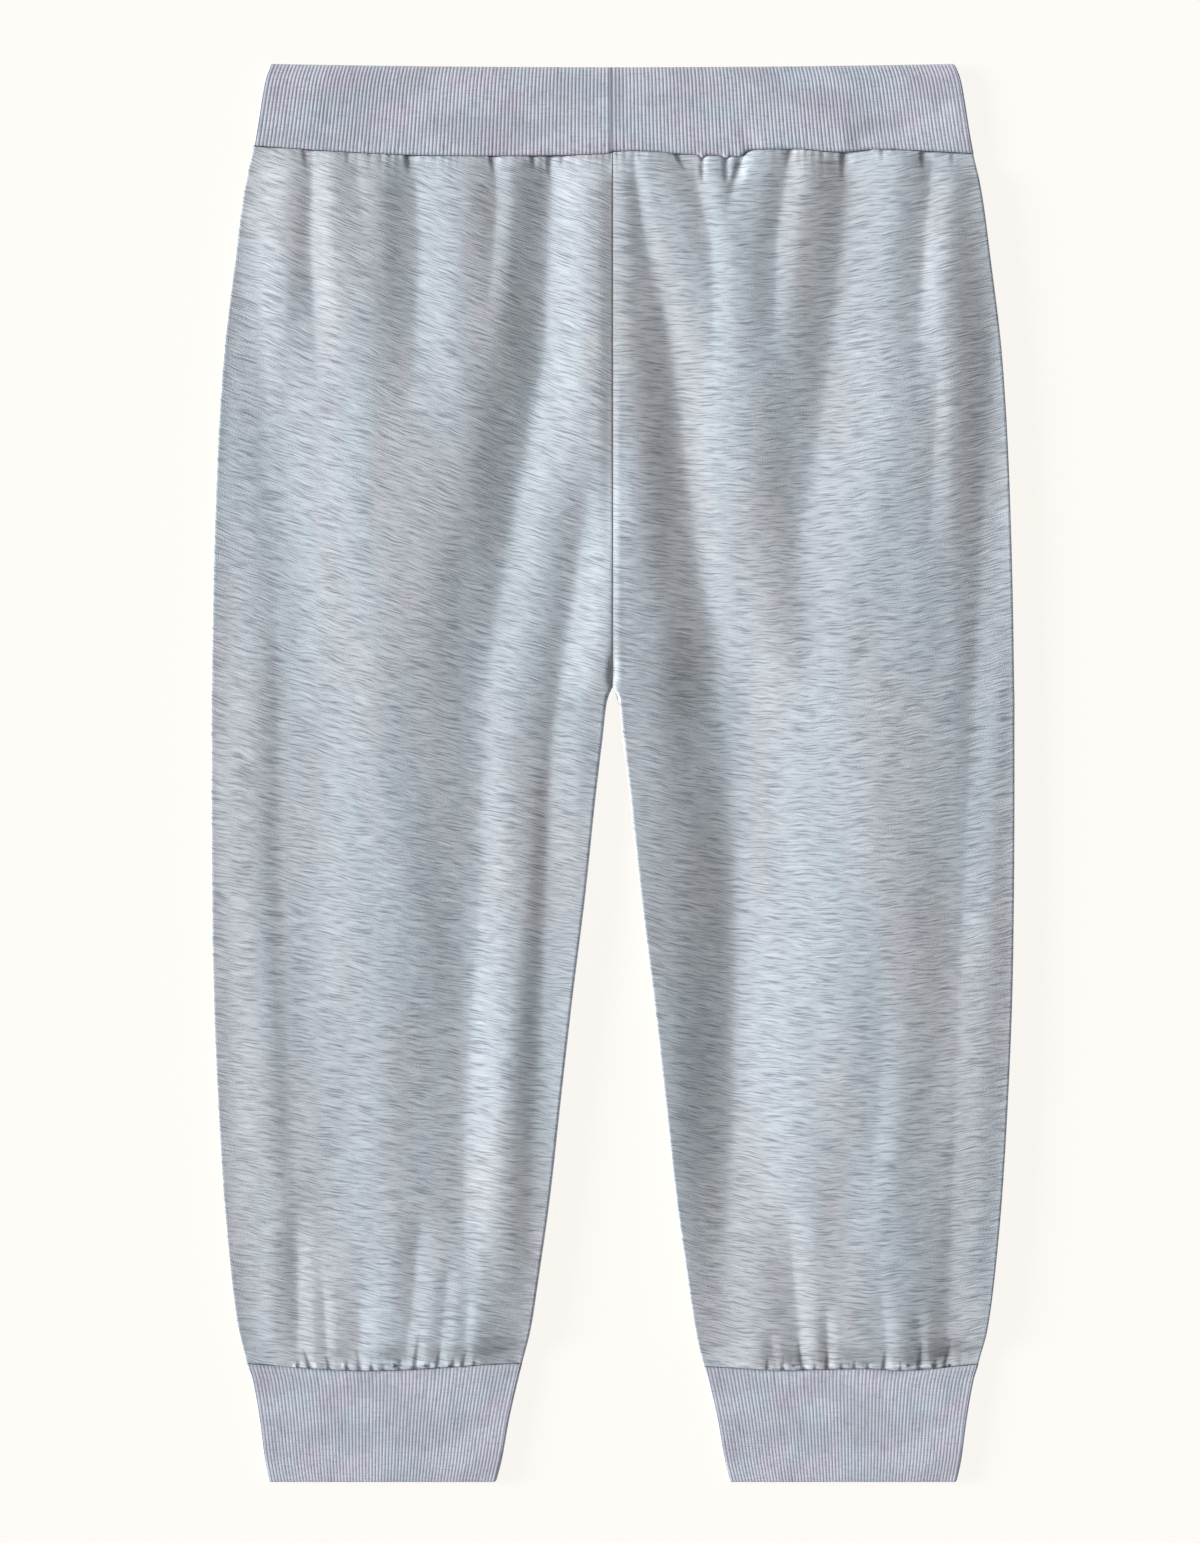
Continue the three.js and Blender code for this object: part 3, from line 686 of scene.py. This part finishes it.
def creaseDepth(creases, x, down):
    deep = 0
    for x0, down0, x1, down1, width, depth in creases:
        length = math.hypot(x1 - x0, down1 - down0)
        alongIt = ((x - x0) * (x1 - x0) + (down - down0) * (down1 - down0)) / length
        aside = ((x - x0) * (down1 - down0) - (down - down0) * (x1 - x0)) / length
        end = ribbing["creaseEnd"]
        ends = smooth(alongIt / end + 0.5) * smooth((length - alongIt) / end + 0.5)
        deep = deep + depth * np.exp(-((aside / width) ** 2)) * ends
    return deep


def ringRelief(settings, waves, x, fromSeam):
    gathers = puckers(x + settings["shift"], fromSeam) * smooth(fromSeam / ribbing["puckerCalm"])
    dip = seamDip(fromSeam, ribbing["edgeDip"], ribbing["edgeReach"])
    return settings["waves"] * waves + settings["puckers"] * gathers + dip


def bandRelief(x, down):
    waves = np.sin(x / 13 + 0.8 * np.sin(down / 9)) * np.sin(down / 11 + x / 37)
    relief = ringRelief(bandRing, waves, x, along(waistSeam, x) - down)
    return relief - creaseDepth(bandCreases, x, down)


def cuffRelief(x, down):
    waves = np.sin(x / 9 + down / 17) * np.sin(down / 10 + x / 21)
    return ringRelief(cuffRing, waves, x, down - along(cuffSeam, x))


def bandEdges(down):
    return -outsideAt(down), outsideAt(down)


def cuffEdges(side):
    def bothEdges(down):
        ends = (side * insideAt(down), side * outsideAt(down))
        return min(ends), max(ends)
    return bothEdges


def bandBow(x):
    return bandRing["bow"] * (1 - (x / bandRing["bowReach"]) ** 2)


def noBow(x):
    return 0 * x


def makeRings():
    half = bandRing["halfWidth"]
    made = [ribbedRing("waistband_rib", {
        "wall": garment["bandWall"], "ribs": bandRing["ribs"], "ribHeight": bandRing["ribHeight"],
        "seam": waistSeam, "hiddenSeam": hiddenWaistSeam, "towardsSeam": 1,
        "fold": 0.0, "foldShift": bandBow, "leftEnd": -half, "rightEnd": half,
        "edges": bandEdges, "relief": bandRelief, "hasJoin": True,
    })]
    for side, hand in ((-1, "right"), (1, "left")):
        near, far = sorted((side * cuffRing["inside"], side * cuffRing["outside"]))
        made.append(ribbedRing("cuff_rib_" + hand, {
            "wall": garment["cuffWall"], "ribs": cuffRing["ribs"], "ribHeight": cuffRing["ribHeight"],
            "seam": cuffSeam, "hiddenSeam": hiddenCuffSeam, "towardsSeam": -1,
            "fold": garment["length"], "foldShift": noBow, "leftEnd": near, "rightEnd": far,
            "edges": cuffEdges(side), "relief": cuffRelief, "hasJoin": False,
        }))
    return made


# Materials

# A shader node with the plain values of its sockets and its own fields set.
def node(tree, kind, values=None, **fields):
    made = tree.nodes.new(kind)
    for key, value in fields.items():
        setattr(made, key, value)
    for key, value in (values or {}).items():
        made.inputs[key].default_value = value
    return made


def newMaterial(name):
    material = bpy.data.materials.new(name)
    material.use_nodes = True
    tree = material.node_tree
    tree.nodes.clear()
    shader = node(tree, "ShaderNodeBsdfPrincipled")
    output = node(tree, "ShaderNodeOutputMaterial")
    tree.links.new(shader.outputs["BSDF"], output.inputs["Surface"])
    return material, tree, shader


# Noise on the flat cloth: one cell of it is so many millimetres across and down.
def clothNoise(tree, place, cell, detail=2.0, roughness=0.5):
    mapping = node(tree, "ShaderNodeMapping", {"Scale": (1 / mm / cell[0], 1 / mm / cell[1], 1)})
    noise = node(tree, "ShaderNodeTexNoise", {"Scale": 1.0, "Detail": detail, "Roughness": roughness},
                 noise_dimensions="2D")
    tree.links.new(place, mapping.inputs["Vector"])
    tree.links.new(mapping.outputs["Vector"], noise.inputs["Vector"])
    return noise.outputs["Fac"]


# The values of a math node are numbers or sockets.
def mathNode(tree, operation, *values):
    made = node(tree, "ShaderNodeMath", operation=operation)
    for socket, value in zip(made.inputs, values):
        if isinstance(value, (int, float)):
            socket.default_value = value
        else:
            tree.links.new(value, socket)
    return made.outputs[0]


def times(tree, first, second):
    return mathNode(tree, "MULTIPLY", first, second)


# A sum of two values, the first one with this share.
def blend(tree, share, first, second):
    return mathNode(tree, "ADD", times(tree, first, share), times(tree, second, 1 - share))


def mixColor(tree, factor, first, second):
    made = node(tree, "ShaderNodeMix", data_type="RGBA", clamp_factor=True)
    sockets = {"Factor": made.inputs[0], "A": made.inputs[6], "B": made.inputs[7]}
    for key, value in (("Factor", factor), ("A", first), ("B", second)):
        if isinstance(value, (int, float)):
            sockets[key].default_value = value
        elif isinstance(value, tuple):
            sockets[key].default_value = value + (1.0,)
        else:
            tree.links.new(value, sockets[key])
    return made.outputs[2]


# A value's smooth share of the way from low to high, 0 to 1. High may be the smaller one.
def shareBetween(tree, value, low, high):
    made = node(tree, "ShaderNodeMapRange", {"From Min": low, "From Max": high},
                interpolation_type="SMOOTHSTEP")
    tree.links.new(value, made.inputs["Value"])
    return made.outputs["Result"]


# A plain colour that turns warmer and cooler in patches.
def patchyTint(tree, patch, look, plain):
    tint = mixColor(tree, shareBetween(tree, patch, *look["warmBetween"]), plain, look["warm"])
    return mixColor(tree, shareBetween(tree, patch, *look["coolBetween"]), tint, look["cool"])


def finishKnit(tree, shader, color, height, look):
    tree.links.new(color, shader.inputs["Base Color"])
    shader.inputs["Roughness"].default_value = look["roughness"]
    shader.inputs["Specular IOR Level"].default_value = look["specular"]
    shader.inputs["Sheen Weight"].default_value = look["sheen"]
    shader.inputs["Sheen Roughness"].default_value = look["sheenRoughness"]
    bump = node(tree, "ShaderNodeBump", {"Strength": 1.0, "Distance": look["relief"] * mm})
    tree.links.new(height, bump.inputs["Height"])
    tree.links.new(bump.outputs["Normal"], shader.inputs["Normal"])


# The panels' heathered knit. A cell is a noise's width and height, Between is the noise from which
# a colour starts to show and where it is full, and Most is its largest share.
knitLook = {
    "base": (0.483, 0.514, 0.556),
    "dark": (0.18, 0.195, 0.24),
    "darkBetween": (0.53, 0.31),
    "darkMost": 0.76,
    "light": (0.68, 0.725, 0.77),
    "lightBetween": (0.5, 0.7),
    "lightMost": 0.5,
    "warm": (0.494, 0.508, 0.54),
    "warmBetween": (0.5, 0.62),
    "cool": (0.468, 0.518, 0.562),
    "coolBetween": (0.48, 0.36),
    "patchCell": (26, 120),  # the warm and cool patches are long bands down the legs
    "streakCell": (10.5, 0.49),
    "streakShare": 0.66,  # the rest is the fine streaks'
    "fineCell": (5.2, 0.36),
    "grainCell": (0.45, 0.45),
    "grainShare": 0.25,
    "wanderCell": (12.0, 7.0),
    "wander": 2.2,  # how far the streaks wave up and down
    "roughness": 0.92,
    "specular": 0.2,
    "sheen": 0.12,
    "sheenRoughness": 0.5,
    "relief": 0.4,
}


def makeBodyKnit():
    look = knitLook
    material, tree, shader = newMaterial("body knit")
    place = node(tree, "ShaderNodeUVMap", uv_map="cloth").outputs["UV"]
    waver = mathNode(tree, "SUBTRACT", clothNoise(tree, place, look["wanderCell"], 1.0), 0.5)
    moved = node(tree, "ShaderNodeCombineXYZ")
    tree.links.new(times(tree, waver, look["wander"] * mm), moved.inputs["Y"])
    added = node(tree, "ShaderNodeVectorMath", operation="ADD")
    tree.links.new(place, added.inputs[0])
    tree.links.new(moved.outputs["Vector"], added.inputs[1])
    wavy = added.outputs["Vector"]
    streak = clothNoise(tree, wavy, look["streakCell"], 2.0, 0.55)
    fine = clothNoise(tree, wavy, look["fineCell"], 1.5, 0.55)
    grain = clothNoise(tree, place, look["grainCell"], 1.0)
    both = blend(tree, look["streakShare"], streak, fine)
    darker = times(tree, shareBetween(tree, both, *look["darkBetween"]), look["darkMost"])
    lighter = times(tree, shareBetween(tree, both, *look["lightBetween"]), look["lightMost"])
    tint = patchyTint(tree, clothNoise(tree, place, look["patchCell"]), look, look["base"])
    color = mixColor(tree, darker, tint, look["dark"])
    color = mixColor(tree, lighter, color, look["light"])
    height = mathNode(tree, "ADD", both, times(tree, grain, look["grainShare"]))
    finishKnit(tree, shader, color, height, look)
    return material


# The rib knit of the waistband and cuffs, with names as above. Everything dark goes to the valleys'
# colour: the yarn's darker streaks, slubs and broad patches, and the painted shade in the rib valleys,
# along the joining seam and in a small fold beside it.
ribLook = {
    "crest": (0.53, 0.55, 0.62),
    "valley": (0.24, 0.248, 0.3),
    "valleyBetween": (0.24, 0.48),  # ribs from a crest: painted shade in the valleys between the ribs
    "valleyShadeMost": 0.5,
    "warm": (0.545, 0.525, 0.612),
    "warmBetween": (0.52, 0.68),
    "cool": (0.495, 0.55, 0.612),
    "coolBetween": (0.46, 0.32),
    "patchCell": (16, 14),
    "streakCell": (1.3, 9.0),
    "streakShare": 0.75,  # the rest is the flecks'
    "streakBetween": (0.5, 0.28),
    "streakMost": 0.5,
    "fleckCell": (1.0, 1.1),
    "slubCell": (5.0, 0.55),
    "slubBetween": (0.5, 0.3),
    "slubMost": 0.35,
    "broadCell": (24, 13),
    "broadBetween": (0.56, 0.36),
    "broadMost": 0.22,
    "joinRib": 97.7,  # the waistband's joining seam, counted in ribs from its left end
    # joinBetween and the most below it set a painted shadow of the joining seam, a dark line across the
    # ribs.
    "joinBetween": (0.7, 0.3),
    "joinShadowMost": 0.85,
    "paintedShadeStart": (-0.2, 0.6),  # painted shade of a small fold on the join's right, in ribs from it
    "paintedShadeEnd": (4.5, 2.0),
    "paintedShadeBottom": (0.131, 0.115),  # and up and down, in the UV map's metres
    "paintedShadeTop": (0.1, 0.106),
    "paintedShadeMost": 0.36,
    "course": 0.85,  # height of a knitted loop
    "loopSlant": 1.4,
    "loopShare": 0.6,
    "roughness": 0.9,
    "specular": 0.2,
    "sheen": 0.1,
    "sheenRoughness": 0.5,
    "relief": 0.06,
}


def makeRibKnit():
    look = ribLook
    material, tree, shader = newMaterial("rib knit")
    parts = node(tree, "ShaderNodeSeparateXYZ")
    tree.links.new(node(tree, "ShaderNodeUVMap", uv_map="cloth").outputs["UV"], parts.inputs["Vector"])
    down = parts.outputs["Y"]
    ribs = times(tree, parts.outputs["X"], ribbing["mapRibs"])
    aside = mathNode(tree, "ABSOLUTE", mathNode(tree, "SUBTRACT", mathNode(tree, "FRACT", ribs), 0.5))
    flat = node(tree, "ShaderNodeCombineXYZ")
    tree.links.new(times(tree, ribs, ribbing["mapPitch"] * mm), flat.inputs["X"])
    tree.links.new(down, flat.inputs["Y"])
    place = flat.outputs["Vector"]

    def darken(color, share, most):
        return mixColor(tree, times(tree, share, most), color, look["valley"])

    def darkShare(value, name):
        return shareBetween(tree, value, *look[name + "Between"])

    streak = clothNoise(tree, place, look["streakCell"], 3.0, 0.6)
    slub = clothNoise(tree, place, look["slubCell"], 2.0, 0.55)
    fleck = clothNoise(tree, place, look["fleckCell"], 2.0, 0.6)
    broad = clothNoise(tree, place, look["broadCell"], 1.0)
    mottled = blend(tree, look["streakShare"], streak, fleck)
    fromJoin = mathNode(tree, "SUBTRACT", ribs, look["joinRib"])
    # Painted shade of a small fold on the join's right: a few ribs darkened near the waistband's top.
    paintedShadeEnds = [shareBetween(tree, fromJoin, *look[name]) for name in ("paintedShadeStart", "paintedShadeEnd")]
    paintedShadeLevels = [shareBetween(tree, down, *look[name]) for name in ("paintedShadeBottom", "paintedShadeTop")]
    paintedFoldShade = times(tree, times(tree, *paintedShadeEnds), times(tree, *paintedShadeLevels))
    color = patchyTint(tree, clothNoise(tree, place, look["patchCell"]), look, look["crest"])
    color = darken(color, darkShare(mottled, "streak"), look["streakMost"])
    color = darken(color, darkShare(slub, "slub"), look["slubMost"])
    # Painted shade in the valleys between the ribs.
    color = darken(color, darkShare(aside, "valley"), look["valleyShadeMost"])
    # Painted shadow of the waistband's joining seam, a dark line over its shallow groove.
    color = darken(color, darkShare(mathNode(tree, "ABSOLUTE", fromJoin), "join"), look["joinShadowMost"])
    # Painted shade of the small fold beside the join.
    color = darken(color, paintedFoldShade, look["paintedShadeMost"])
    color = darken(color, darkShare(broad, "broad"), look["broadMost"])
    loop = mathNode(tree, "ADD", times(tree, down, 1 / mm / look["course"]),
                    times(tree, aside, look["loopSlant"]))
    wave = mathNode(tree, "ABSOLUTE", mathNode(tree, "SINE", times(tree, loop, math.pi)))
    height = mathNode(tree, "ADD", times(tree, wave, look["loopShare"]), fleck)
    finishKnit(tree, shader, color, height, look)
    return material


# Light and floor

studio = {
    "floorColor": (0.07, 0.07, 0.07),
    "floorGlow": (0.927, 0.9, 0.857),  # a lit table top, so shadows on it stay faint
    "floorSize": 6.0,
    "floorDrop": 0.0002,
    "worldColor": (1.0, 0.955, 0.935),
    "worldStrength": 0.23,
    "keyColor": (0.955, 0.985, 1.0),
    "keyStrength": 7.2,
    "keyElevation": 21.0,
    "keyAzimuth": 175.0,  # degrees from +X, so the light comes from the left
    "keySoftness": 24.0,
}


def makeTable(settings):
    material, tree, shader = newMaterial("pale table")
    shader.inputs["Base Color"].default_value = settings["floorColor"] + (1.0,)
    shader.inputs["Roughness"].default_value = 0.9
    shader.inputs["Specular IOR Level"].default_value = 0.0
    shader.inputs["Emission Color"].default_value = settings["floorGlow"] + (1.0,)
    shader.inputs["Emission Strength"].default_value = 1.0
    return material


def makeStudio(settings):
    size = settings["floorSize"]
    mesh = bpy.data.meshes.new("floor")
    corners = [(-size, -size, 0), (size, -size, 0), (size, size, 0), (-size, size, 0)]
    mesh.from_pydata(corners, [], [(0, 1, 2, 3)])
    floor = bpy.data.objects.new("floor", mesh)
    bpy.context.collection.objects.link(floor)
    floor.location.z = -settings["floorDrop"]
    mesh.materials.append(makeTable(settings))
    world = bpy.data.worlds.new("studio")
    world.use_nodes = True
    background = world.node_tree.nodes["Background"]
    background.inputs["Color"].default_value = settings["worldColor"] + (1.0,)
    background.inputs["Strength"].default_value = settings["worldStrength"]
    bpy.context.scene.world = world
    light = bpy.data.lights.new("key", "SUN")
    light.energy = settings["keyStrength"]
    light.color = settings["keyColor"]
    light.angle = math.radians(settings["keySoftness"])
    key = bpy.data.objects.new("key", light)
    fromStraightUp = math.radians(90 - settings["keyElevation"])
    key.rotation_euler = (0, fromStraightUp, math.radians(settings["keyAzimuth"]))
    bpy.context.collection.objects.link(key)


makeStudio(studio)
print("studio ready")


# Everything together


def dress(piece, material, nodes):
    piece.data.materials.append(material)
    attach(piece, "root")
    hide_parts(*nodes)


bodyKnit = makeBodyKnit()
ribKnit = makeRibKnit()
print("materials ready")

for side, hand in ((-1, "right"), (1, "left")):
    back = panel("back_panel_" + hand, side, False)
    dress(back, bodyKnit, ["back_" + hand])
    front = panel("front_panel_" + hand, side, True)
    dress(front, bodyKnit, ["front_" + hand])
print("panels ready")

waistbandRib, cuffRight, cuffLeft = makeRings()
dress(waistbandRib, ribKnit, ["waistband"])
dress(cuffRight, ribKnit, ["cuff_right"])
dress(cuffLeft, ribKnit, ["cuff_left"])
print("rings ready")
